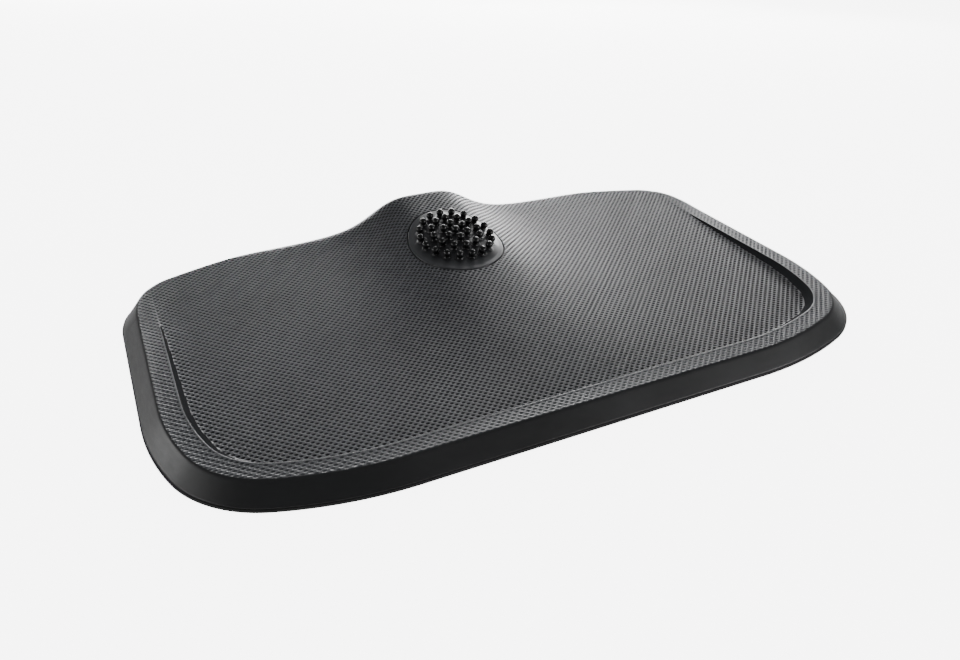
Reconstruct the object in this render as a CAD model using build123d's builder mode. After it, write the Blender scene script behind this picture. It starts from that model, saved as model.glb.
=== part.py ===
"""Anti-fatigue mat with a raised rim, a foot mound at the back and a drop-in massage insert.

+X runs along the long side, +Y towards the mound, +Z up. The origin is the middle of the underside.
"""

import os
from math import atan2, cos, radians, sin, sqrt, tau

from build123d import *

os.makedirs("parts", exist_ok=True)

# The whole mat
WIDTH = 914.0
DEPTH = 560.0
FRONT = -DEPTH / 2
BACK = DEPTH / 2
FRONT_CORNER = ((420.0, 20.0), (132.0, 52.0), (330.0, 18.0))  # radius and turn of each arc, from the front
BACK_CORNER = ((150.0, 15.0), (90.0, 55.0), (700.0, 20.0))  # the same, from the side round to the back

# Base sheet and skirt
SHEET = 3.5
SHEET_LIP = 0.8
SKIRT_LEAN = 1.04  # how far the skirt leans in for each millimetre it rises
BACK_LEAN = 0.26  # the back is steeper, because it carries the mound
BLANK_TOP = 100.0
CUT_TOP = 105.0
SPARE = 13.0  # how far a cutter reaches past the mat

# Rim and standing area
RIM_HEIGHT = 23.0
RIM_INSET = 46.0
RIM_BLEND = 1.0
WALL_LEAN = 0.9
WALL_FADE = 0.3  # the height left of the wall where the standing area has risen to the rim
STAND_FRONT = 10.0
STAND_RISE = 20.0
DISH = 4.0
DISH_START = 200.0
DISH_RUN = 211.0
ROLL_START = 251.0  # where the top begins to roll over into the back wall
ROLL_RUN = 26.0
ROLL_DROP = 14.0
RIM_ROLL = 0.4  # the rim's share of that drop

# Mound
MOUND_RISE = 48.0
MOUND_START = -247.0
MOUND_RUN = 508.0
MOUND_SWELL = 1.1
MOUND_WIDTH = 100.0
MOUND_NARROWING = 15.0
MOUND_NARROWS = -47.0  # where its sides begin to steepen
STEEPENING_RUN = 300.0
MOUND_SLOPE = 2.6
MOUND_STEEPENING = 1.4
MOUND_REACH = 300.0  # half width of the ground that the mound stands on
MOUND_FOOT = -190.0

# Massage insert: an oval, drawn straight up out of its pocket
INSERT_Y = 124.5
INSERT_X_RADIUS = 66.0
INSERT_Y_RADIUS = 79.0
MOAT = 1.4
GLUE = 0.2
POCKET_DEPTH = 26.0
SOCKET_WALL = 2.5
SOCKET_DROP = 3.4
GRIP_RADIUS = 1.2
GRIP_PROUD = 0.5
PAD_CROWN = 8.0
CROWN_FLOOR = -0.4  # the share of the crown at which its fall outside the oval stops
PAD_SKIN = 3.0
CARRIER_WALL = 2.5
CARRIER_RIBS = 3
SLIP = 0.6

# Massage knobs
KNOB_RINGS = 3
KNOB_PITCH_X = 16.2
KNOB_PITCH_Y = 18.5
KNOB_HEAD = 5.2  # radius
KNOB_NECK = 4.2  # radius
KNOB_FOOT = 5.9  # radius of the ring at its foot
KNOB_LIP = 0.4
KNOB_WAIST = 2.2
KNOB_HEIGHT = 11.5
KNOB_ROOT = 2.0
KNOB_SPLAY = 0.8


def along(y):
    """How far y lies from the front edge to the back edge, 0 to 1."""
    return min(max((y - FRONT) / DEPTH, 0.0), 1.0)


def roll(y):
    """How far the top falls where it rolls over into the back wall."""
    return ROLL_DROP * (max(y - ROLL_START, 0.0) / ROLL_RUN) ** 2


def stand_height(x, y):
    """Height of the standing area, dished at its sides and heaped into the mound at the back."""
    floor = STAND_FRONT + STAND_RISE * along(y) ** 2
    dish = DISH * (max(abs(x) - DISH_START, 0.0) / DISH_RUN) ** 2 * (1 - along(y) ** 2)
    ease = min(max((y - MOUND_NARROWS) / STEEPENING_RUN, 0.0), 1.0)
    ease = ease * ease * (3 - 2 * ease)
    width = MOUND_WIDTH - MOUND_NARROWING * ease
    spread = (abs(x) / width) ** (MOUND_SLOPE + MOUND_STEEPENING * ease)
    rise = MOUND_RISE * (max(y - MOUND_START, 0.0) / MOUND_RUN) ** MOUND_SWELL
    return floor + dish + rise / (1 + spread) - roll(y)


def rim_height(x, y):
    """Height of the rim: level, until the standing area rises above it towards the back."""
    rim = RIM_HEIGHT - RIM_ROLL * roll(y)
    stand = stand_height(x, y) + WALL_FADE
    return (rim + stand + sqrt((rim - stand) ** 2 + RIM_BLEND**2)) / 2


def pad_height(x, y):
    """Height of the massage pad, which crowns a little above the mound around it."""
    out = (x / INSERT_X_RADIUS) ** 2 + ((y - INSERT_Y) / INSERT_Y_RADIUS) ** 2
    return stand_height(x, y) + PAD_CROWN * max(1 - out, CROWN_FLOOR)


def height_skin(height, drop=0.0):
    """A smooth face through a height formula, lowered by drop, that reaches past every edge of the mat."""
    step = 15.0
    columns = range(-33, 34)
    rows = range(-20, 21)
    return Face.make_surface_from_array_of_points(
        [[Vector(i * step, j * step, height(i * step, j * step) - drop) for j in rows] for i in columns]
    )


def insert_skin(drop):
    """The pad's top face, lowered by drop, reaching a little past the insert's oval."""
    step = 5.0
    columns = range(-15, 16)
    rows = [INSERT_Y + j * step for j in range(-18, 19)]
    return Face.make_surface_from_array_of_points(
        [[Vector(i * step, y, pad_height(i * step, y) - drop) for y in rows] for i in columns]
    )


def reach(arcs, inset):
    """How far a corner runs on along its first side, and how far across to its second side."""
    heading = 0.0
    ahead = 0.0
    across = 0.0
    for radius, turn in arcs:
        after = heading + radians(turn)
        ahead += (radius - inset) * (sin(after) - sin(heading))
        across += (radius - inset) * (cos(heading) - cos(after))
        heading = after
    return ahead, across


def corner(line, arcs, inset):
    """Draw a corner as tangent arcs that go on from a line, and give the last arc."""
    for radius, turn in arcs:
        line = JernArc(start=line @ 1, tangent=line % 1, radius=radius - inset, arc_size=turn)
    return line


def front_and_side(inset):
    """Draw the right half of the front edge and its corner, pulled in by inset."""
    start = WIDTH / 2 - inset - reach(FRONT_CORNER, inset)[0]
    front = Line((0, FRONT + inset), (start, FRONT + inset))
    return corner(front, FRONT_CORNER, inset)


def outline(level, inset, back_inset):
    """The mat's outline at a level, pulled in by inset at the front and sides and by back_inset behind."""
    back_corner_inset = (inset + back_inset) / 2
    side_top = BACK - back_inset - reach(BACK_CORNER, back_corner_inset)[0]
    with BuildSketch(Plane.XY.offset(level)) as sketch:
        with BuildLine():
            bend = front_and_side(inset)
            side = Line(bend @ 1, (WIDTH / 2 - inset, side_top))
            bend = corner(side, BACK_CORNER, back_corner_inset)
            Line(bend @ 1, (0, BACK - back_inset))
            mirror(about=Plane.YZ)
        make_face()
    return sketch.sketch


def bay_outline(level, inset):
    """The standing area's outline inside the rim, left open past the back edge."""
    past_back = BACK + SPARE
    with BuildSketch(Plane.XY.offset(level)) as sketch:
        with BuildLine():
            bend = front_and_side(inset)
            Polyline(bend @ 1, (WIDTH / 2 - inset, past_back), (0, past_back))
            mirror(about=Plane.YZ)
        make_face()
    return sketch.sketch


def oval(grow):
    """The insert's oval outline, grown by grow on every side."""
    with BuildSketch(Plane.XY.offset(SHEET)) as sketch:
        with Locations((0, INSERT_Y)):
            Ellipse(INSERT_X_RADIUS + grow, INSERT_Y_RADIUS + grow)
    return sketch.sketch


def grip_ribs(grow):
    """Four upright ribs on an oval, grown by grow, that stand a little proud of its inside."""
    out = grow + GRIP_RADIUS - GRIP_PROUD
    x = INSERT_X_RADIUS + out
    y = INSERT_Y_RADIUS + out
    with BuildSketch(Plane.XY.offset(SHEET)) as sketch:
        with Locations((x, INSERT_Y), (-x, INSERT_Y), (0, INSERT_Y + y), (0, INSERT_Y - y)):
            Circle(GRIP_RADIUS)
    return sketch.sketch


def knob_planes():
    """Where each massage knob stands: one in the middle and rings of 6, 12 and 18 around it."""
    spots = [(0.0, INSERT_Y)]
    for ring in range(1, KNOB_RINGS + 1):
        for k in range(6 * ring):
            turn = tau * k / (6 * ring) - tau / 4
            spots.append((ring * KNOB_PITCH_X * cos(turn), INSERT_Y + ring * KNOB_PITCH_Y * sin(turn)))
    planes = []
    for x, y in spots:
        lean_x = KNOB_SPLAY * (pad_height(x - 1, y) - pad_height(x + 1, y)) / 2
        lean_y = KNOB_SPLAY * (pad_height(x, y - 1) - pad_height(x, y + 1)) / 2
        foot = (x, y, pad_height(x, y))
        planes.append(Plane(origin=foot, x_dir=(1, 0, -lean_x), z_dir=(lean_x, lean_y, 1)))
    return planes


# The pocket's floor lies parallel to the mound's slope under the insert
slope_front = stand_height(0, INSERT_Y - INSERT_Y_RADIUS)
slope_back = stand_height(0, INSERT_Y + INSERT_Y_RADIUS)
slope_tilt = atan2(slope_back - slope_front, 2 * INSERT_Y_RADIUS)
slope = Plane(
    origin=(0, INSERT_Y, (slope_front + slope_back) / 2),
    x_dir=(1, 0, 0),
    z_dir=(0, -sin(slope_tilt), cos(slope_tilt)),
)
pocket_floor = slope.offset(-POCKET_DEPTH)
socket_floor = slope.offset(-POCKET_DEPTH + GLUE)
carrier_floor = slope.offset(-POCKET_DEPTH + GLUE + SOCKET_WALL)

# Cutter: all that lies above the standing area, inside the rim
with BuildPart() as above_bay:
    levels = (0.0, CUT_TOP)
    loft([bay_outline(level, RIM_INSET - WALL_LEAN * (level - RIM_HEIGHT)) for level in levels])
    split(bisect_by=height_skin(stand_height), keep=Keep.TOP)

# Cutter: all that lies above the rim, kept off the mound
with BuildPart() as above_rim:
    with BuildSketch():
        Rectangle(WIDTH + 2 * SPARE, DEPTH + 2 * SPARE)
        with Locations((0, BACK)):
            Rectangle(2 * MOUND_REACH, 2 * (BACK - MOUND_FOOT), mode=Mode.SUBTRACT)
    extrude(amount=CUT_TOP)
    split(bisect_by=height_skin(rim_height), keep=Keep.TOP)

# Cutter: the pocket for the massage insert
with BuildPart() as pocket:
    extrude(oval(MOAT), amount=BLANK_TOP)
    split(bisect_by=pocket_floor, keep=Keep.TOP)

with BuildPart() as base_sheet:
    extrude(outline(0, 0, 0), amount=SHEET)
base_sheet.part.label = "base_sheet"
export_step(base_sheet.part, "parts/base_sheet.step")

with BuildPart() as mat_body:
    rises = (0.0, BLANK_TOP - SHEET)
    loft([outline(SHEET + up, SHEET_LIP + SKIRT_LEAN * up, SHEET_LIP + BACK_LEAN * up) for up in rises])
    add(above_bay.part, mode=Mode.SUBTRACT)
    add(above_rim.part, mode=Mode.SUBTRACT)
    add(pocket.part, mode=Mode.SUBTRACT)
mat_body.part.label = "mat_body"
export_step(mat_body.part, "parts/mat_body.step")

# Socket: a rigid cup bonded into the pocket, with ribs that grip the carrier
with BuildPart() as socket_inside:
    extrude(oval(MOAT - GLUE - SOCKET_WALL), amount=BLANK_TOP)
    split(bisect_by=carrier_floor, keep=Keep.TOP)

with BuildPart() as insert_socket:
    extrude(oval(MOAT - GLUE), amount=BLANK_TOP)
    add(socket_inside.part, mode=Mode.SUBTRACT)
    extrude(grip_ribs(MOAT - GLUE - SOCKET_WALL), amount=BLANK_TOP)
    split(bisect_by=socket_floor, keep=Keep.TOP)
    split(bisect_by=height_skin(stand_height, SOCKET_DROP), keep=Keep.BOTTOM)
insert_socket.part.label = "insert_socket"
export_step(insert_socket.part, "parts/insert_socket.step")

# Carrier: a rigid dome with a rim wall and cross ribs, standing in the socket
with BuildPart() as carrier_hollow:
    extrude(oval(MOAT - GLUE - SOCKET_WALL - SLIP - CARRIER_WALL), amount=BLANK_TOP)
    split(bisect_by=insert_skin(PAD_SKIN + CARRIER_WALL), keep=Keep.BOTTOM)
    for k in range(CARRIER_RIBS):
        with BuildSketch(Plane.XY.offset(SHEET)):
            with Locations(Location((0, INSERT_Y), 180 * k / CARRIER_RIBS)):
                Rectangle(4 * INSERT_X_RADIUS, CARRIER_WALL)
        extrude(amount=BLANK_TOP, mode=Mode.SUBTRACT)

with BuildPart() as insert_carrier:
    extrude(oval(MOAT - GLUE - SOCKET_WALL - SLIP), amount=BLANK_TOP)
    split(bisect_by=insert_skin(PAD_SKIN), keep=Keep.BOTTOM)
    add(carrier_hollow.part, mode=Mode.SUBTRACT)
    split(bisect_by=carrier_floor, keep=Keep.TOP)
insert_carrier.part.label = "insert_carrier"
export_step(insert_carrier.part, "parts/insert_carrier.step")

# Massage pad: a soft dome moulded over the carrier, with its round-headed knobs
with BuildPart() as knob:
    with BuildSketch(Plane.XZ):
        with BuildLine():
            foot = Polyline((0, -KNOB_ROOT), (KNOB_FOOT, -KNOB_ROOT), (KNOB_FOOT, KNOB_LIP))
            waist = (KNOB_NECK, KNOB_WAIST)
            RadiusArc(foot @ 1, waist, KNOB_FOOT - KNOB_NECK + KNOB_LIP)
            middle = KNOB_HEIGHT - KNOB_HEAD
            shoulder = (KNOB_NECK, middle - sqrt(KNOB_HEAD**2 - KNOB_NECK**2))
            Line(waist, shoulder)
            ThreePointArc(shoulder, (KNOB_HEAD, middle), (0, KNOB_HEIGHT))
            Line((0, KNOB_HEIGHT), (0, -KNOB_ROOT))
        make_face()
    revolve(axis=Axis.Z)

knobs = [plane.location * knob.part for plane in knob_planes()]

with BuildPart() as massage_pad:
    extrude(oval(0), amount=BLANK_TOP)
    split(bisect_by=insert_skin(0), keep=Keep.BOTTOM)
    split(bisect_by=insert_skin(PAD_SKIN), keep=Keep.TOP)
    add(knobs)
massage_pad.part.label = "massage_pad"
export_step(massage_pad.part, "parts/massage_pad.step")
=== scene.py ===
"""The finished look of the anti-fatigue mat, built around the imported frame.

Shapes are worked out in millimetres in the frame's own axes, and turned into metres when a mesh is made.
"""

import math

import bpy
import numpy as np
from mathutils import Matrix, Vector
from mathutils.geometry import delaunay_2d_cdt


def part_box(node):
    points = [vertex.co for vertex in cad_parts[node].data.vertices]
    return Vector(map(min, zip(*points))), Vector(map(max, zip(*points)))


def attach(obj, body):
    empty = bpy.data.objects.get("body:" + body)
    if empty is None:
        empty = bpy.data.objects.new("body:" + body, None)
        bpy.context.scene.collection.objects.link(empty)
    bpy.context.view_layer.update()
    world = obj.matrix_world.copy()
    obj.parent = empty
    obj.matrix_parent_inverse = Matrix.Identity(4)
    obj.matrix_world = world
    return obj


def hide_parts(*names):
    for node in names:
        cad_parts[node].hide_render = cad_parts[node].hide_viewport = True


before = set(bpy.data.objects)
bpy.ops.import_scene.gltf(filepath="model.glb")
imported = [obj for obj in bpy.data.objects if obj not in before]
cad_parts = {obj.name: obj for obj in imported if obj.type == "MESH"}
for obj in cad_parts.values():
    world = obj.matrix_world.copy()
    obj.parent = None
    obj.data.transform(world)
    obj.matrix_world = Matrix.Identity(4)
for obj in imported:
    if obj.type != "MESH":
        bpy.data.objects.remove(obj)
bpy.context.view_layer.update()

MM = 0.001

# ---------------------------------------------------------------- sizes, in millimetres

SHEET_LOW, SHEET_HIGH = (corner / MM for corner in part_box("base_sheet"))
BODY_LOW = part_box("mat_body")[0] / MM
PAD_LOW, PAD_HIGH = (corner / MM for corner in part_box("massage_pad"))

HALF_WIDTH = SHEET_HIGH.x
FRONT = SHEET_LOW.y
BACK = SHEET_HIGH.y
DEPTH = BACK - FRONT
SHEET = SHEET_HIGH.z
SHEET_LIP = BODY_LOW.x - SHEET_LOW.x
FRONT_CORNER = ((420.0, 20.0), (132.0, 52.0), (330.0, 18.0))  # radius and turn of each arc
BACK_CORNER = ((150.0, 15.0), (90.0, 55.0), (700.0, 20.0))
SKIRT_LEAN = 1.04
BACK_LEAN = 0.26

RIM_HEIGHT = 23.0
RIM_INSET = 46.0
RIM_BLEND = 1.0
WALL_FROM = 44.5  # from here inwards the rings are close, for the wall
CREST_ROUND = 1.1
WALL_LEAN = 0.9
WALL_FADE = 0.3
LIP_BEAD = 0.5  # a low bead that runs along the top of the wall
LIP_WIDTH = 2.6
LIP_OUT = 1.0  # the lip's polished strip: its middle lies this far outside the wall's top
LIP_HALF = 1.2
BARE_ABOVE = 3.0  # the smooth strip without dimples starts this far outside the wall's top
BARE_BELOW = 1.2  # and ends this far inside its foot
LEAST_WALL = 0.4  # a wall lower than this has no smooth strip
EDGE_GUESS = 20.0  # inset of the crisp edge to start its search from
EDGE_ROUND = 2.2  # the crisp edge between skirt and rim is rounded over this length each way
STAND_INSET = 66.0
STAND_FRONT = 10.0
STAND_RISE = 20.0
DISH = 4.0
DISH_FROM = 200.0
DISH_REACH = 211.0
MOUND_RISE = 48.0
MOUND_START = -247.0
MOUND_LENGTH = 508.0
MOUND_CURVE = 1.1  # power of the mound's climb towards the back
MOUND_WIDTH = 100.0
MOUND_NARROWING = 15.0
MOUND_NARROW_FROM = -47.0
MOUND_NARROW_LENGTH = 300.0
MOUND_FLANK = 2.6  # power of the flanks at the front; towards the back they get steeper
MOUND_STEEPENING = 1.4
MOUND_END = 251.0
ROLL_DROP = 14.0
ROLL_LENGTH = 26.0

INSERT_Y = (PAD_LOW.y + PAD_HIGH.y) / 2
INSERT_X_RADIUS = PAD_HIGH.x
INSERT_Y_RADIUS = (PAD_HIGH.y - PAD_LOW.y) / 2
MOAT = 1.4  # the open gap round the insert
MOUTH_ROUND = 0.9
POCKET_DEPTH = 26.0
PAD_CROWN = 8.0
PAD_SKIN = 3.0
PAD_PROUD = 0.3  # how far the pad stands above the mound
FLANGE = 0.92  # the share of the oval that the dome covers, inside its flat flange

KNOB_RINGS = 3
KNOB_PITCH_X = 16.2
KNOB_PITCH_Y = 18.5
KNOB_HEAD = 5.2
KNOB_NECK = 4.2
KNOB_HEIGHT = 11.5
KNOB_RING = 7.1
KNOB_SEAT = 5.3  # rings wider than this lie on the dome
KNOB_SPLAY = 0.8

DIMPLE_PITCH = 8.2  # along X and along Y; every other row is shifted by half of it
DIMPLE_X = 2.75
DIMPLE_Y = 2.05
DIMPLE_DEPTH = 0.95
DIMPLE_MARGIN = 2.0  # bare strip along the crisp edge; the dimples reach full depth after DIMPLE_FADE
DIMPLE_FADE = 9.0
RIM_DIMPLE = 0.6  # their depth on the rim, as a share of that on the standing area
GRID = DIMPLE_PITCH / 6
COARSE = 19.0  # grid of the flat faces
COARSE_LINES = (np.arange(-24, 25) * COARSE, np.arange(-15, 16) * COARSE)

WAFFLE_PITCH = 20.0
WAFFLE_GROOVE = 1.6  # half the width of a groove's floor
WAFFLE_SHOULDER = 2.6  # half its width at the sheet's face
WAFFLE_DEPTH = 0.8
WAFFLE_MARGIN = 14.0

# ---------------------------------------------------------------- the surface as formulas


def along(y):
    """How far y lies from the front edge to the back edge, 0 to 1."""
    return np.clip((y - FRONT) / DEPTH, 0, 1)


def roll(y):
    """How far the top falls where it rolls over into the back wall."""
    return ROLL_DROP * (np.maximum(y - MOUND_END, 0) / ROLL_LENGTH) ** 2


def stand_height(x, y):
    """Height of the standing area and its mound."""
    floor = STAND_FRONT + STAND_RISE * along(y) ** 2
    dish = DISH * (np.maximum(abs(x) - DISH_FROM, 0) / DISH_REACH) ** 2 * (1 - along(y) ** 2)
    ease = np.clip((y - MOUND_NARROW_FROM) / MOUND_NARROW_LENGTH, 0, 1)
    ease = ease * ease * (3 - 2 * ease)
    flank = MOUND_FLANK + MOUND_STEEPENING * ease
    spread = (abs(x) / (MOUND_WIDTH - MOUND_NARROWING * ease)) ** flank
    rise = MOUND_RISE * (np.maximum(y - MOUND_START, 0) / MOUND_LENGTH) ** MOUND_CURVE
    return floor + dish + rise / (1 + spread) - roll(y)


def soft_least(a, b, softness):
    """The lesser of two heights, rounded where they cross."""
    return (a + b - np.sqrt((a - b) ** 2 + softness**2)) / 2


def soft_most(a, b, softness):
    """The greater of two heights, rounded where they cross."""
    return (a + b + np.sqrt((a - b) ** 2 + softness**2)) / 2


def rim_height(x, y):
    """Height of the rim: level, until the standing area rises above it towards the back."""
    return soft_most(RIM_HEIGHT - 0.4 * roll(y), stand_height(x, y) + WALL_FADE, RIM_BLEND)


def top_height(x, y, inset):
    """Height of the top at inset from the outline of the bay: rim, wall and standing area."""
    wall = RIM_HEIGHT + (RIM_INSET - inset) / WALL_LEAN
    step = rim_height(x, y) - stand_height(x, y)
    bead = LIP_BEAD * fade(step, 4.0) * fade(LIP_WIDTH - abs(inset - RIM_INSET + 1.5), LIP_WIDTH)
    rim = soft_least(rim_height(x, y) + bead, wall, CREST_ROUND)
    stand = stand_height(x, y)
    return np.where(inset > STAND_INSET - 1, stand, soft_most(stand, rim, 0.9))


def dimple(x, y):
    """Depth of the moulded dimples, 0 to 1: lens shapes on a staggered lattice."""
    depth = np.zeros(np.shape(x))
    for shift in (0.0, 0.5):
        u = x / DIMPLE_PITCH + shift
        v = y / DIMPLE_PITCH + shift
        u = (u - np.round(u)) * DIMPLE_PITCH / DIMPLE_X
        v = (v - np.round(v)) * DIMPLE_PITCH / DIMPLE_Y
        depth = np.maximum(depth, 1 - u * u - v * v)
    return depth


def fade(distance, width):
    """0 at a line and 1 from width away from it."""
    return np.clip(distance / width, 0, 1)


def oval_share(x, y):
    """How far out a point is in the insert's oval: 0 in the middle, 1 at its edge."""
    return np.sqrt((x / INSERT_X_RADIUS) ** 2 + ((y - INSERT_Y) / INSERT_Y_RADIUS) ** 2)


def dome_height(x, y):
    """Height of the massage pad's top: a low dome inside a flat flange, both on the mound's slope."""
    crown = PAD_CROWN * np.maximum(1 - (oval_share(x, y) / FLANGE) ** 2, 0)
    return stand_height(x, y) + crown + PAD_PROUD


def pad_under_height(x, y):
    """Height of the massage pad's underside, which lies on the carrier."""
    crown = PAD_CROWN * np.maximum(1 - oval_share(x, y) ** 2, 0)
    return stand_height(x, y) + crown - PAD_SKIN + 0.05


# ---------------------------------------------------------------- mesh building


class Shell:
    """Points and faces gathered stretch by stretch into one mesh."""

    def __init__(self):
        self.points = []
        self.count = 0
        self.faces = []

    def add(self, x, y, z):
        """Add points and give their numbers."""
        new = np.stack(np.broadcast_arrays(x, y, z), -1).reshape(-1, 3)
        self.points.append(new)
        numbers = np.arange(self.count, self.count + len(new))
        self.count += len(new)
        return numbers

    def cover(self, faces, slot):
        """Add faces, each a row of point numbers, with one material slot or one each."""
        self.faces.append((np.asarray(faces, int), np.broadcast_to(slot, len(faces))))

    def join(self, ring, other, slot):
        """Quads between two closed rings, facing up where other lies inside; slot may differ face by face."""
        after = np.roll(ring, -1)
        other_after = np.roll(other, -1)
        self.cover(np.stack([ring, after, other_after, other], -1), slot)

    def cap(self, ring, point, slot, up=True):
        """Triangles from a closed ring to one point."""
        after = np.roll(ring, -1)
        tip = np.full(len(ring), point)
        self.cover(np.stack([ring, after, tip] if up else [after, ring, tip], -1), slot)

    def at(self, numbers):
        """X and Y of points already added."""
        return np.concatenate(self.points)[numbers][:, :2]

    def fill(self, outer, holes, xs, ys, height, slot, up=True):
        """Fill inside the outer ring and outside the holes: a grid, and triangles along its edges."""
        loops = [self.at(ring) for ring in (outer, *holes)]
        gx, gy = np.meshgrid(xs, ys, indexing="ij")
        flat = np.stack([gx.ravel(), gy.ravel()], -1)
        margin = 0.55 * min(np.diff(xs).min(), np.diff(ys).min())
        room = room_in(flat, loops, coarse=True).reshape(gx.shape)
        keep = room > margin
        cells = keep[:-1, :-1] & keep[1:, :-1] & keep[:-1, 1:] & keep[1:, 1:]
        used = np.zeros(gx.shape, bool)
        for i, j in ((0, 0), (1, 0), (0, 1), (1, 1)):
            used[i : i + cells.shape[0], j : j + cells.shape[1]] |= cells
        number = np.full(gx.shape, -1)
        number[used] = self.add(gx[used], gy[used], height(gx[used], gy[used]))
        quads = np.stack([number[:-1, :-1], number[1:, :-1], number[1:, 1:], number[:-1, 1:]], -1)[cells]
        self.cover(quads if up else quads[:, ::-1], slot)
        seam = cell_edges(cells, number)
        rings = [np.stack([ring, np.roll(ring, -1)], -1) for ring in (outer, *holes)]
        self.stitch(np.concatenate([seam, *rings]), loops, cells, xs, ys, slot, up)

    def stitch(self, edges, loops, cells, xs, ys, slot, up):
        """Triangles between the grid's stepped edge and the rings around it."""
        numbers, edges = np.unique(edges, return_inverse=True)
        edges = edges.reshape(-1, 2)
        flat = self.at(numbers)
        made = delaunay_2d_cdt([Vector(p) for p in flat], edges.tolist(), [], 0, 1e-5)
        source = np.array([s[0] for s in made[3]])
        corners = np.array(made[2], int)
        where = np.array([v[:] for v in made[0]])
        middle = where[corners].mean(1)
        i = np.clip(np.searchsorted(xs, middle[:, 0]) - 1, 0, cells.shape[0] - 1)
        j = np.clip(np.searchsorted(ys, middle[:, 1]) - 1, 0, cells.shape[1] - 1)
        corners = corners[(room_in(middle, loops) > 0) & ~cells[i, j]]
        a, b, c = (where[corners[:, k]] for k in range(3))
        turned = (b - a)[:, 0] * (c - a)[:, 1] < (b - a)[:, 1] * (c - a)[:, 0]
        corners[turned] = corners[turned][:, ::-1]
        triangles = numbers[source[corners]]
        self.cover(triangles if up else triangles[:, ::-1], slot)

    def finish(self, name, materials):
        """The mesh object, in metres, with smooth faces."""
        points = np.concatenate(self.points) * MM
        sizes = np.concatenate([np.full(len(f), f.shape[1]) for f, _ in self.faces])
        slots = np.concatenate([slot for _, slot in self.faces])
        corners = np.concatenate([f.ravel() for f, _ in self.faces])
        mesh = bpy.data.meshes.new(name)
        mesh.vertices.add(len(points))
        mesh.vertices.foreach_set("co", points.ravel())
        mesh.loops.add(len(corners))
        mesh.loops.foreach_set("vertex_index", corners)
        mesh.polygons.add(len(sizes))
        mesh.polygons.foreach_set("loop_start", np.concatenate([[0], np.cumsum(sizes)[:-1]]))
        mesh.polygons.foreach_set("material_index", slots)
        mesh.polygons.foreach_set("use_smooth", np.ones(len(sizes), bool))
        for material in materials:
            mesh.materials.append(material)
        mesh.update(calc_edges=True)
        mesh.validate()
        piece = bpy.data.objects.new(name, mesh)
        bpy.context.scene.collection.objects.link(piece)
        return piece


def room_in(points, loops, coarse=False):
    """Distance to the nearest loop, below 0 outside the first loop or inside one of the others."""
    room = np.full(len(points), np.inf)
    for k, loop in enumerate(loops):
        if coarse and len(loop) > 400:
            loop = loop[::6]
        after = np.roll(loop, -1, 0)
        inside = np.zeros(len(points), bool)
        near = np.full(len(points), np.inf)
        for (ax, ay), (bx, by) in zip(loop, after):
            dx, dy = bx - ax, by - ay
            px, py = points[:, 0] - ax, points[:, 1] - ay
            t = np.clip((px * dx + py * dy) / (dx * dx + dy * dy), 0, 1)
            near = np.minimum(near, (px - t * dx) ** 2 + (py - t * dy) ** 2)
            if ay != by:
                inside ^= ((py < 0) != (py < dy)) & (px < py * dx / dy)
        near = np.sqrt(near)
        room = np.minimum(room, np.where(inside == (k == 0), near, -near))
    return room


def cell_edges(cells, number):
    """The edges of the grid's kept cells that border a cell that isn't kept."""
    padded = np.pad(cells, 1)
    along_x = padded[1:-1, 1:] != padded[1:-1, :-1]
    along_y = padded[1:, 1:-1] != padded[:-1, 1:-1]
    rows = np.stack([number[:-1, :][along_x], number[1:, :][along_x]], -1)
    columns = np.stack([number[:, :-1][along_y], number[:, 1:][along_y]], -1)
    return np.concatenate([rows, columns])


# ---------------------------------------------------------------- the outline


def outline_stations(spacing):
    """Points round the outline, each with its outward direction and how far the skirt leans there."""
    stations = []

    def straight(start, end, heading, lean):
        steps = max(int(math.dist(start, end) / spacing), 1)
        for k in range(steps):
            t = k / steps
            place = [start[0] + (end[0] - start[0]) * t, start[1] + (end[1] - start[1]) * t]
            stations.append((*place, math.sin(heading), -math.cos(heading), lean))

    def bend(start, heading, arcs, lean_start, lean_end):
        x, y = start
        total = sum(turn for _, turn in arcs)
        done = 0.0
        for radius, turn in arcs:
            cx, cy = x - radius * math.sin(heading), y + radius * math.cos(heading)
            steps = max(int(radius * math.radians(turn) / spacing), 1)
            for k in range(steps):
                a = heading + math.radians(turn) * k / steps
                lean = lean_start + (lean_end - lean_start) * (done + turn * k / steps) / total
                place = (cx + radius * math.sin(a), cy - radius * math.cos(a))
                stations.append((*place, math.sin(a), -math.cos(a), lean))
            heading += math.radians(turn)
            done += turn
            x, y = cx + radius * math.sin(heading), cy - radius * math.cos(heading)
        return x, y

    def reach(arcs):
        x, y = 0.0, 0.0
        heading = 0.0
        for radius, turn in arcs:
            after = heading + math.radians(turn)
            x += radius * (math.sin(after) - math.sin(heading))
            y += radius * (math.cos(heading) - math.cos(after))
            heading = after
        return x, y

    front_end = HALF_WIDTH - reach(FRONT_CORNER)[0]
    side_end = BACK - reach(BACK_CORNER)[0]
    straight((0, FRONT), (front_end, FRONT), 0.0, SKIRT_LEAN)
    x, y = bend((front_end, FRONT), 0.0, FRONT_CORNER, SKIRT_LEAN, SKIRT_LEAN)
    straight((x, y), (HALF_WIDTH, side_end), math.pi / 2, SKIRT_LEAN)
    x, y = bend((HALF_WIDTH, side_end), math.pi / 2, BACK_CORNER, SKIRT_LEAN, BACK_LEAN)
    straight((x, y), (0, BACK), math.pi, BACK_LEAN)
    right = np.array(stations)
    middle_back = np.array([[0, BACK, 0, 1, BACK_LEAN]])
    left = (right[1:] * [-1, 1, -1, 1, 1])[::-1]
    return np.concatenate([right, middle_back, left])


def bay_inset(x, y, inset):
    """Inset from the bay's own outline, which runs straight on past the back edge."""
    return np.where(y > 0, HALF_WIDTH - abs(x), inset)


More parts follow.
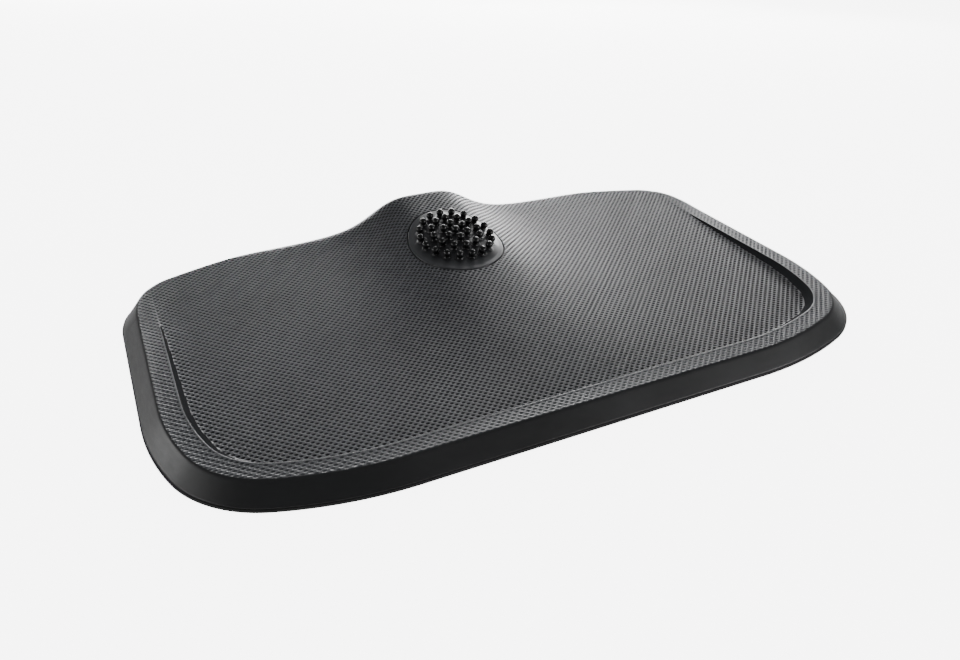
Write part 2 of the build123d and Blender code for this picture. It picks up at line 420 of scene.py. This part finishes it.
def inward(stations, inset):
    """X and Y of the outline pulled in by inset."""
    return stations[:, 0] - stations[:, 2] * inset, stations[:, 1] - stations[:, 3] * inset


def oval_ring(shell, grow, height, count=360):
    """A ring of points on the insert's oval, grown by grow."""
    a = np.arange(count) * 2 * np.pi / count
    x = (INSERT_X_RADIUS + grow) * np.cos(a)
    y = INSERT_Y + (INSERT_Y_RADIUS + grow) * np.sin(a)
    return shell.add(x, y, height(x, y))


# ---------------------------------------------------------------- materials


class Nodes:
    """A material's node tree, with short calls for the nodes used here."""

    def __init__(self, name):
        self.material = bpy.data.materials.new(name)
        self.material.use_nodes = True
        self.tree = self.material.node_tree
        self.shader = self.tree.nodes["Principled BSDF"]
        self.place = self.new("ShaderNodeTexCoord").outputs["Object"]

    def new(self, kind, **values):
        """A node; values name its properties or its inputs."""
        node = self.tree.nodes.new(kind)
        for key, value in values.items():
            if hasattr(node, key):
                setattr(node, key, value)
            else:
                self.put(node.inputs[key.replace("_", " ").title()], value)
        return node

    def put(self, socket, value):
        """Link or set an input."""
        if isinstance(value, bpy.types.NodeSocket):
            self.tree.links.new(value, socket)
        else:
            socket.default_value = value

    def math(self, operation, a, b=0.0, c=0.0):
        """A math node on up to three values."""
        node = self.tree.nodes.new("ShaderNodeMath")
        node.operation = operation
        for socket, value in zip(node.inputs, (a, b, c)):
            self.put(socket, value)
        return node.outputs[0]

    def noise(self, per_metre, detail=4.0, rough=0.55, stretch=(1, 1, 1)):
        """Noise that repeats about per_metre times a metre."""
        mapping = self.new("ShaderNodeMapping")
        self.put(mapping.inputs["Vector"], self.place)
        mapping.inputs["Scale"].default_value = stretch
        node = self.new("ShaderNodeTexNoise", scale=per_metre, detail=detail, roughness=rough)
        self.put(node.inputs["Vector"], mapping.outputs[0])
        return node.outputs["Fac"]

    def spread(self, value, low, high, start=0.3, end=0.7):
        """Value from start to end mapped to low to high."""
        node = self.tree.nodes.new("ShaderNodeMapRange")
        for socket, number in zip(node.inputs, (value, start, end, low, high)):
            self.put(socket, number)
        return node.outputs[0]

    def mix(self, share, colour, other):
        """Colour at share 0, other at share 1."""
        node = self.tree.nodes.new("ShaderNodeMix")
        node.data_type = "RGBA"
        self.put(node.inputs[0], share)
        self.put(node.inputs[6], colour)
        self.put(node.inputs[7], other)
        return node.outputs[2]

    def bump(self, height, distance, under=None):
        """A bump of distance metres, on top of another one."""
        node = self.tree.nodes.new("ShaderNodeBump")
        self.put(node.inputs["Height"], height)
        node.inputs["Distance"].default_value = distance
        node.inputs["Strength"].default_value = 1.0
        if under is not None:
            self.put(node.inputs["Normal"], under)
        return node.outputs[0]

    def surface(self, **values):
        """Set or link the shader's inputs."""
        for key, value in values.items():
            self.put(self.shader.inputs[key.replace("_", " ")], value)
        return self.material


def grey(value, warm=0.0):
    """An almost neutral colour; warm below 0 turns it towards violet blue."""
    return (value * (1 + warm / 2), value, value * (1 - warm), 1)


def lattice(nodes):
    """The dimples' lattice as a value: 1 in the middle of each, 0 and below between them."""
    split = nodes.new("ShaderNodeSeparateXYZ")
    nodes.put(split.inputs[0], nodes.place)
    depths = []
    for shift in (0.0, 0.5):
        squares = []
        for axis, size in ((0, DIMPLE_X), (1, DIMPLE_Y)):
            turns = nodes.math("MULTIPLY_ADD", split.outputs[axis], 1 / (DIMPLE_PITCH * MM), shift)
            off = nodes.math("SUBTRACT", turns, nodes.math("ROUND", turns))
            off = nodes.math("MULTIPLY", off, DIMPLE_PITCH / size)
            squares.append(nodes.math("MULTIPLY", off, off))
        depths.append(nodes.math("SUBTRACT", 1.0, nodes.math("ADD", *squares)))
    return nodes.math("MAXIMUM", *depths)


def textured_skin(name, inside, inside_shine):
    """The foam's moulded skin with its dimples: satin between them, duller inside, with painted shade that
    darkens the dimples towards their middles.
    """
    n = Nodes(name)
    depth = n.math("MAXIMUM", lattice(n), 0.0)
    cloud = n.noise(9.0, 3.0)
    grain = n.noise(2600.0, 3.0, 0.6)
    ridge = n.mix(n.spread(cloud, 0, 1), grey(0.060, -0.07), grey(0.078, -0.09))
    # painted shade: the colour darkens from the ridge grey to the inside grey towards each dimple's middle
    colour = n.mix(n.spread(depth, 0, 1, 0.0, 0.6), ridge, grey(inside, -0.06))
    rough = n.math("ADD", n.spread(depth, 0.30, 0.60, 0.0, 0.6), n.spread(grain, -0.04, 0.04))
    shine = n.spread(depth, 0.55, inside_shine, 0.0, 0.6)
    pores = n.bump(grain, 0.00005)
    sunk = n.bump(n.math("MULTIPLY", depth, -1.0), 0.0006, pores)
    return n.surface(Base_Color=colour, Roughness=rough, Specular_IOR_Level=shine, Normal=sunk)


def smooth_skin(name, value, rough_low, rough_high, shine=0.5):
    """Plain moulded skin with a fine grain and faint rubs: the skirt, the wall and its lip."""
    n = Nodes(name)
    cloud = n.noise(7.0, 3.0)
    grain = n.noise(3200.0, 2.0)
    rubs = n.noise(60.0, 5.0, 0.7, (1, 1, 6))
    colour = n.mix(n.spread(cloud, 0, 1), grey(value, -0.05), grey(value * 1.3, -0.07))
    rough = n.math("ADD", n.spread(cloud, rough_low, rough_high), n.spread(rubs, -0.03, 0.05))
    fine = n.bump(grain, 0.00003)
    return n.surface(Base_Color=colour, Roughness=rough, Specular_IOR_Level=shine, Normal=fine)


def sheet_rubber():
    """The non-slip sheet: matt rubber with a coarse grain and pale dust in it."""
    n = Nodes("sheet_rubber")
    grain = n.noise(1500.0, 4.0, 0.7)
    cloud = n.noise(20.0, 4.0)
    colour = n.mix(n.spread(cloud, 0, 1), grey(0.012, -0.03), grey(0.022, -0.03))
    rough = n.spread(grain, 0.72, 0.9)
    return n.surface(Base_Color=colour, Roughness=rough, Normal=n.bump(grain, 0.00012))


def pad_skin(name, middle, margin, rough_low, rough_high, coat):
    """The massage pad's moulding, faintly uneven: its grey runs from middle, among the knobs, to margin; the
    darker middle is painted shade between the knobs.
    """
    n = Nodes(name)
    split = n.new("ShaderNodeSeparateXYZ")
    n.put(split.inputs[0], n.place)
    x = n.math("MULTIPLY", split.outputs[0], 1 / (INSERT_X_RADIUS * MM))
    y = n.math("MULTIPLY_ADD", split.outputs[1], 1 / (INSERT_Y_RADIUS * MM), -INSERT_Y / INSERT_Y_RADIUS)
    out = n.math("ADD", n.math("MULTIPLY", x, x), n.math("MULTIPLY", y, y))
    cloud = n.noise(40.0, 3.0)
    fine = n.noise(1400.0, 2.0)
    ripple = n.noise(120.0, 1.0)
    # painted shade: the grey is darker among the knobs and lighter towards the margin
    colour = n.mix(n.spread(out, 0, 1, 0.6, 0.85), grey(middle, -0.08), grey(margin, -0.08))
    colour = n.mix(n.spread(cloud, 0, 0.3), colour, grey(margin * 1.5, -0.10))
    rough = n.math("ADD", n.spread(cloud, rough_low, rough_high), n.spread(fine, -0.02, 0.03))
    waves = n.bump(ripple, 0.00004)
    return n.surface(Base_Color=colour, Roughness=rough, Coat_Weight=coat, Coat_Roughness=0.14, Normal=waves)


def moulded_plastic(name, value, rough):
    """A hidden moulding: matt plastic with spark-eroded grain and faint flow marks."""
    n = Nodes(name)
    grain = n.noise(2200.0, 3.0, 0.65)
    flow = n.noise(30.0, 4.0, 0.6, (1, 1, 4))
    colour = n.mix(n.spread(flow, 0, 1), grey(value, -0.04), grey(value * 1.5, -0.04))
    roughness = n.math("ADD", n.spread(flow, rough, rough + 0.08), n.spread(grain, -0.03, 0.04))
    return n.surface(Base_Color=colour, Roughness=roughness, Normal=n.bump(grain, 0.00004))


SEEN_GLOW = 6.0
FLOOR_GLOW = 0.26
WORLD_GLOW = 0.1


def seen_glow(tree, own):
    """A glow of strength own, and stronger by SEEN_GLOW where the camera sees it directly."""
    seen = tree.nodes.new("ShaderNodeLightPath").outputs["Is Camera Ray"]
    glow = tree.nodes.new("ShaderNodeMath")
    glow.operation = "MULTIPLY_ADD"
    tree.links.new(seen, glow.inputs[0])
    glow.inputs[1].default_value = SEEN_GLOW
    glow.inputs[2].default_value = own
    return glow.outputs[0]


def floor_paint():
    """The pale studio floor: it looks bright, but gives the mat only a little light."""
    n = Nodes("floor_paint")
    cloud = n.noise(1.5, 3.0)
    colour = n.mix(n.spread(cloud, 0, 1), grey(0.86), grey(0.88))
    glow = seen_glow(n.tree, FLOOR_GLOW)
    return n.surface(Base_Color=colour, Roughness=0.8, Emission_Color=(1, 1, 1, 1), Emission_Strength=glow)


# ---------------------------------------------------------------- the mat

TEXTURED, SMOOTH, WALL, LIP, RIM = 0, 1, 2, 3, 4  # material slots of the foam


def top_edge(stations):
    """Inset and height of the crisp edge between skirt and top, at each station."""
    inset = np.full(len(stations), EDGE_GUESS)
    for _ in range(12):
        x, y = inward(stations, inset)
        height = top_height(x, y, bay_inset(x, y, inset))
        inset = SHEET_LIP + stations[:, 4] * (height - SHEET)
    return inset, height


def curve(t, a, b, c):
    """A curve from a to c that b pulls towards itself."""
    return (1 - t) ** 2 * a + 2 * t * (1 - t) * b + t * t * c


def add_skirt(shell, stations, edge_inset, edge_height):
    """The underside, the skirt and its rounded upper edge; gives the last ring and the next inset."""
    bottom = shell.add(*inward(stations, SHEET_LIP), SHEET)
    shell.fill(bottom, [], *COARSE_LINES, lambda x, y: 0 * x + SHEET, SMOOTH, up=False)
    ring = bottom
    rise, run = edge_height - SHEET, edge_inset - SHEET_LIP
    end = 1 - EDGE_ROUND / np.hypot(rise, run)
    for t in np.linspace(0, 1, 13)[1:]:
        skirt_inset = SHEET_LIP + run * (t * end)
        skirt_height = SHEET + rise * (t * end)
        new = shell.add(*inward(stations, skirt_inset), skirt_height)
        shell.join(ring, new, SMOOTH)
        ring = new
    start = edge_inset + EDGE_ROUND
    x, y = inward(stations, start)
    start_height = top_height(x, y, bay_inset(x, y, start))
    for t in (0.25, 0.5, 0.75):
        inset = curve(t, skirt_inset, edge_inset, start)
        new = shell.add(*inward(stations, inset), curve(t, skirt_height, edge_height, start_height))
        shell.join(ring, new, SMOOTH)
        ring = new
    return ring, start


def add_rim(shell, stations, ring, start, edge_inset):
    """The rim, the wall and a margin of the standing area, as rings that follow the outline."""
    for t in np.concatenate([np.linspace(0, 1, 18)[:-1], 1 + np.linspace(0, 1, 26)]):
        level = start + (WALL_FROM - start) * t
        inset = np.where(t <= 1, level, WALL_FROM + (STAND_INSET - WALL_FROM) * (t - 1))
        x, y = inward(stations, inset)
        own = bay_inset(x, y, inset)
        step = rim_height(x, y) - stand_height(x, y)
        foot = RIM_INSET + WALL_LEAN * step
        bare = fade(own - RIM_INSET + BARE_ABOVE, 1.5) * fade(foot + BARE_BELOW - own, 1.0)
        bare = bare * fade(step - LEAST_WALL, 2.0)
        on_lip = abs(own - RIM_INSET + LIP_OUT) < LIP_HALF
        plain = np.where(on_lip, LIP, np.where(own < RIM_INSET, SMOOTH, WALL))
        dimpled = np.where((own < RIM_INSET) & (step > LEAST_WALL), RIM, TEXTURED)
        cover = fade(inset - edge_inset - DIMPLE_MARGIN, DIMPLE_FADE) * (1 - bare)
        cover = cover * np.where(dimpled == RIM, RIM_DIMPLE, 1)
        height = top_height(x, y, own) - DIMPLE_DEPTH * dimple(x, y) * cover
        new = shell.add(x, y, height)
        shell.join(ring, new, np.where(bare < 0.5, dimpled, plain))
        ring = new
    return ring


def add_pocket(shell, mouth):
    """The pocket's rounded edge, its wall and its floor, which is parallel to the mound's slope."""
    wall = mouth
    for grow, drop in ((MOAT + 0.35, 0.2), (MOAT, 0.9), (MOAT, 3.0)):
        new = oval_ring(shell, grow, lambda x, y: stand_height(x, y) - drop)
        shell.join(wall, new, SMOOTH)
        wall = new
    slope_front = stand_height(0, INSERT_Y - INSERT_Y_RADIUS)
    slope_back = stand_height(0, INSERT_Y + INSERT_Y_RADIUS)
    tilt = math.atan2(slope_back - slope_front, 2 * INSERT_Y_RADIUS)
    middle = (slope_front + slope_back) / 2 - POCKET_DEPTH / math.cos(tilt)

    def pocket_floor(x, y):
        return 0 * x + middle + (y - INSERT_Y) * math.tan(tilt)

    base = oval_ring(shell, MOAT, pocket_floor)
    shell.join(wall, base, SMOOTH)
    near_y = INSERT_Y + np.arange(-9, 10) * 9.0
    shell.fill(base, [], np.arange(-8, 9) * 9.0, near_y, pocket_floor, SMOOTH)


def build_mat(materials):
    """The foam mat: skirt, rim, wall, dimpled standing area and mound, with the insert's pocket."""
    shell = Shell()
    stations = outline_stations(GRID)
    edge_inset, edge_height = top_edge(stations)
    ring, start = add_skirt(shell, stations, edge_inset, edge_height)
    ring = add_rim(shell, stations, ring, start, edge_inset)
    mouth = oval_ring(shell, MOAT + MOUTH_ROUND, stand_height)

    def standing(x, y):
        clear = fade((oval_share(x, y) - 1) * INSERT_X_RADIUS - MOAT - MOUTH_ROUND, 1.2)
        return stand_height(x, y) - DIMPLE_DEPTH * dimple(x, y) * clear

    xs = np.arange(-330, 331) * GRID
    ys = np.arange(-210, 211) * GRID
    shell.fill(ring, [mouth], xs, ys, standing, TEXTURED)
    add_pocket(shell, mouth)
    return shell.finish("mat_foam", materials)


def build_sheet(materials):
    """The non-slip sheet, with a waffle of shallow grooves underneath."""
    shell = Shell()
    stations = outline_stations(4.0)
    rings = ((1.2, SHEET), (0.25, SHEET), (0, SHEET - 0.3), (0, 0.4), (0.4, 0), (7.0, 0))
    made = [shell.add(*inward(stations, inset), height) for inset, height in rings]
    for above, below in zip(made, made[1:]):
        shell.join(below, above, 0)
    shell.fill(made[0], [], *COARSE_LINES, lambda x, y: 0 * x + SHEET, 0)
    field = np.stack(inward(stations, WAFFLE_MARGIN), -1)

    def groove_lines(reach):
        count = int(reach / WAFFLE_PITCH)
        middles = np.arange(-count - 1, count + 2) * WAFFLE_PITCH
        offsets = np.array([-WAFFLE_SHOULDER, -WAFFLE_GROOVE, WAFFLE_GROOVE, WAFFLE_SHOULDER])
        return (middles[:, None] + offsets).ravel()

    def off_groove(v):
        return abs(v - WAFFLE_PITCH * np.round(v / WAFFLE_PITCH))

    def waffle(x, y):
        off = np.minimum(off_groove(x), off_groove(y))
        edge = room_in(np.stack([x, y], -1), [field], coarse=True)
        share = np.clip((WAFFLE_SHOULDER - off) / (WAFFLE_SHOULDER - WAFFLE_GROOVE), 0, 1)
        return WAFFLE_DEPTH * share * (edge > 0)

    shell.fill(made[-1], [], groove_lines(HALF_WIDTH), groove_lines(BACK), waffle, 0, up=False)
    return shell.finish("non_slip_sheet", materials)


# ---------------------------------------------------------------- the massage pad

DOME, KNOB = 0, 1  # material slots of the pad


def knob_spots():
    """Where the knobs stand: one in the middle and rings of 6, 12 and 18 around it."""
    spots = [(0.0, INSERT_Y)]
    for ring in range(1, KNOB_RINGS + 1):
        for k in range(6 * ring):
            turn = 2 * math.pi * k / (6 * ring) - math.pi / 2
            x = ring * KNOB_PITCH_X * math.cos(turn)
            y = INSERT_Y + ring * KNOB_PITCH_Y * math.sin(turn)
            spots.append((x, y))
    return spots


def knob_profile():
    """Radius and height of the rings up a knob, from the raised ring at its foot to its round head."""
    profile = [(6.8, 0.35), (6.4, 0.45), (6.0, 0.3), (5.4, 0.25), (4.9, 0.6), (4.5, 1.3), (KNOB_NECK, 2.2)]
    middle = KNOB_HEIGHT - KNOB_HEAD
    first = -math.acos(KNOB_NECK / KNOB_HEAD)
    for k in range(12):
        a = first + (math.pi / 2 - first) * k / 12
        profile.append((KNOB_HEAD * math.cos(a), middle + KNOB_HEAD * math.sin(a)))
    return profile


def add_knob(shell, x, y, sides=32):
    """One knob standing on the dome; gives the ring where it meets the dome."""
    lean_x = KNOB_SPLAY * float(dome_height(x - 1, y) - dome_height(x + 1, y)) / 2
    lean_y = KNOB_SPLAY * float(dome_height(x, y - 1) - dome_height(x, y + 1)) / 2
    axis = np.array([lean_x, lean_y, 1.0]) / math.sqrt(1 + lean_x**2 + lean_y**2)
    across = np.array([1.0, 0.0, -lean_x]) / math.sqrt(1 + lean_x**2)
    aside = np.cross(axis, across)
    turn = np.arange(sides) * 2 * np.pi / sides
    spokes = np.cos(turn)[:, None] * across + np.sin(turn)[:, None] * aside
    foot = np.array([x, y, float(dome_height(x, y))])
    rim = foot + KNOB_RING * spokes
    first = shell.add(rim[:, 0], rim[:, 1], dome_height(rim[:, 0], rim[:, 1]))
    ring = first
    for radius, height in knob_profile():
        place = foot + radius * spokes + height * axis
        on_dome = radius > KNOB_SEAT
        if on_dome:
            place[:, 2] = dome_height(place[:, 0], place[:, 1]) + height
        new = shell.add(place[:, 0], place[:, 1], place[:, 2])
        shell.join(ring, new, DOME if on_dome else KNOB)
        ring = new
    tip = foot + KNOB_HEIGHT * axis
    shell.cap(ring, shell.add(*tip)[0], KNOB)
    return first


def build_pad(materials):
    """The massage pad: flange, dome and knobs in one skin."""
    shell = Shell()

    def scaled_ring(share, height):
        a = np.arange(260) * 2 * np.pi / 260
        x = share * INSERT_X_RADIUS * np.cos(a)
        y = INSERT_Y + share * INSERT_Y_RADIUS * np.sin(a)
        return shell.add(x, y, height(x, y))

    def flange(drop):
        return lambda x, y: stand_height(x, y) + PAD_PROUD - drop

    lowest = scaled_ring(0.985, pad_under_height)
    under = lowest
    edge = ((1.0, 2.7), (1.0, 1.1), (0.997, 0.45), (0.990, 0.1), (0.982, 0.0), (FLANGE + 0.012, 0.0))
    for share, drop in edge:
        new = scaled_ring(share, flange(drop))
        shell.join(under, new, DOME)
        under = new
    crease = scaled_ring(FLANGE - 0.012, dome_height)
    shell.join(under, crease, DOME)
    feet = [add_knob(shell, x, y) for x, y in knob_spots()]
    xs = np.arange(-34, 35) * 2.0
    ys = INSERT_Y + np.arange(-40, 41) * 2.0
    shell.fill(crease, feet, xs, ys, dome_height, DOME)
    coarse = np.arange(-16, 17) * 5.0
    shell.fill(lowest, [], coarse, INSERT_Y + coarse, pad_under_height, DOME, up=False)
    return shell.finish("massage_dome", materials)


# ---------------------------------------------------------------- put it together

# painted shade: the skirt's grey (0.015) is far darker than the top's, for the shade on the front skirt
skirt_skin_painted_shade = smooth_skin("skirt_skin_painted_shade", 0.015, 0.36, 0.42)
# painted shade: the wall's grey (0.018) is darker than the top's, for the shade on the wall below the crest
wall_skin_painted_shade = smooth_skin("wall_skin_painted_shade", 0.018, 0.55, 0.65, 0.0)
# painted highlight: the lip's strip is paler (0.075) than the skirt and wall beside it, for the bright line
# along the crest
lip_skin_painted_highlight = smooth_skin("lip_skin_painted_highlight", 0.075, 0.26, 0.32)
# the second value is the painted shade inside the dimples: darker on the standing area, lighter on the rim
standing_skin_painted_dimple_shade = textured_skin("standing_skin_painted_dimple_shade", 0.026, 0.1)
rim_skin_painted_dimple_shade = textured_skin("rim_skin_painted_dimple_shade", 0.045, 0.25)
mat = build_mat([standing_skin_painted_dimple_shade, skirt_skin_painted_shade, wall_skin_painted_shade, lip_skin_painted_highlight, rim_skin_painted_dimple_shade])
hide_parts("mat_body")
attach(mat, "mat")

sheet = build_sheet([sheet_rubber()])
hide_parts("base_sheet")
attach(sheet, "mat")

# painted shade: the dome's grey darkens from 0.046 at its margin to 0.008 among the knobs; the knobs' grey
# runs the same way, barely
dome_skin_painted_shade = pad_skin("dome_skin_painted_shade", 0.008, 0.046, 0.30, 0.38, 0.1)
knob_skin = pad_skin("knob_skin", 0.0045, 0.0055, 0.22, 0.28, 0.2)
pad = build_pad([dome_skin_painted_shade, knob_skin])
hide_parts("massage_pad")
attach(pad, "massage_insert")

for node, value, rough in (("insert_socket", 0.012, 0.55), ("insert_carrier", 0.03, 0.5)):
    finish = moulded_plastic(node + "_plastic", value, rough)
    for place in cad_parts[node].material_slots:
        place.material = finish

# ---------------------------------------------------------------- studio

FLOOR_HALF = 9000.0
FLOOR_DROP = 0.2


def hang(name, light, facing):
    """A lamp in the scene, turned so that it shines against facing."""
    lamp = bpy.data.objects.new(name, light)
    lamp.rotation_mode = "QUATERNION"
    lamp.rotation_quaternion = (-facing).to_track_quat("-Z", "Y")
    bpy.context.scene.collection.objects.link(lamp)
    return lamp


def soft_box(name, azimuth, elevation, power, distance=2.6, width=0.9, height=0.6):
    """A soft box that faces the mat; azimuth runs from +X towards +Y, in degrees."""
    a, e = math.radians(azimuth), math.radians(elevation)
    away = Vector((math.cos(a) * math.cos(e), math.sin(a) * math.cos(e), math.sin(e)))
    light = bpy.data.lights.new(name, "AREA")
    light.shape = "RECTANGLE"
    light.size = width
    light.size_y = height
    light.energy = power
    lamp = hang(name, light, away)
    lamp.location = away * distance
    lamp.visible_camera = False


def build_studio():
    """Pale floor and surroundings, and soft boxes."""
    shell = Shell()
    side = np.array([-1, 1, 1, -1]) * FLOOR_HALF
    corners = shell.add(side, np.roll(side, 1), -FLOOR_DROP)
    shell.cover([corners], 0)
    floor = shell.finish("studio_floor", [floor_paint()])
    world = bpy.data.worlds.new("studio_world")
    world.use_nodes = True
    tree = world.node_tree
    background = tree.nodes["Background"]
    background.inputs["Color"].default_value = (1, 1, 1, 1)
    tree.links.new(seen_glow(tree, WORLD_GLOW), background.inputs["Strength"])
    bpy.context.scene.world = world
    sun = bpy.data.lights.new("overhead", "SUN")
    sun.energy = 1.6
    sun.angle = math.radians(40)
    lamp = hang("overhead", sun, Vector((0.25, 0.42, 0.87)))
    lamp.visible_glossy = False
    soft_box("horizon_strip", 73.6, 6.4, 122, distance=3.57, width=4.0, height=0.5)
    soft_box("back_right_box", 35.5, 13.1, 12, distance=2.65, width=0.8, height=0.4)
    soft_box("back_box", 60, 12, 10)
    soft_box("high_back_box", 60, 35, 9)
    soft_box("back_left_box", 150, 12, 8.5)
    soft_box("left_box", 180, 12, 9)
    soft_box("front_right_box", 315, 12, 30)


CAMERA_AZIMUTH = math.radians(-25.62)
CAMERA_ELEVATION = math.radians(31.01)
CAMERA_DISTANCE = 1.0382
CAMERA_TARGET = Vector((-0.0395, -0.0392, 0))
CAMERA_LENS = 30.13


def build_camera():
    """The camera, at the viewing angle of a person in front and to the left of the mat."""
    a, e = CAMERA_AZIMUTH, CAMERA_ELEVATION
    back = Vector((math.sin(a) * math.cos(e), -math.cos(a) * math.cos(e), math.sin(e)))
    data = bpy.data.cameras.new("camera")
    data.lens = CAMERA_LENS
    data.sensor_width = 36.0
    camera = bpy.data.objects.new("camera", data)
    camera.location = CAMERA_TARGET + back * CAMERA_DISTANCE
    camera.rotation_mode = "QUATERNION"
    camera.rotation_quaternion = (-back).to_track_quat("-Z", "Y")
    bpy.context.scene.collection.objects.link(camera)
    bpy.context.scene.camera = camera


build_studio()
build_camera()
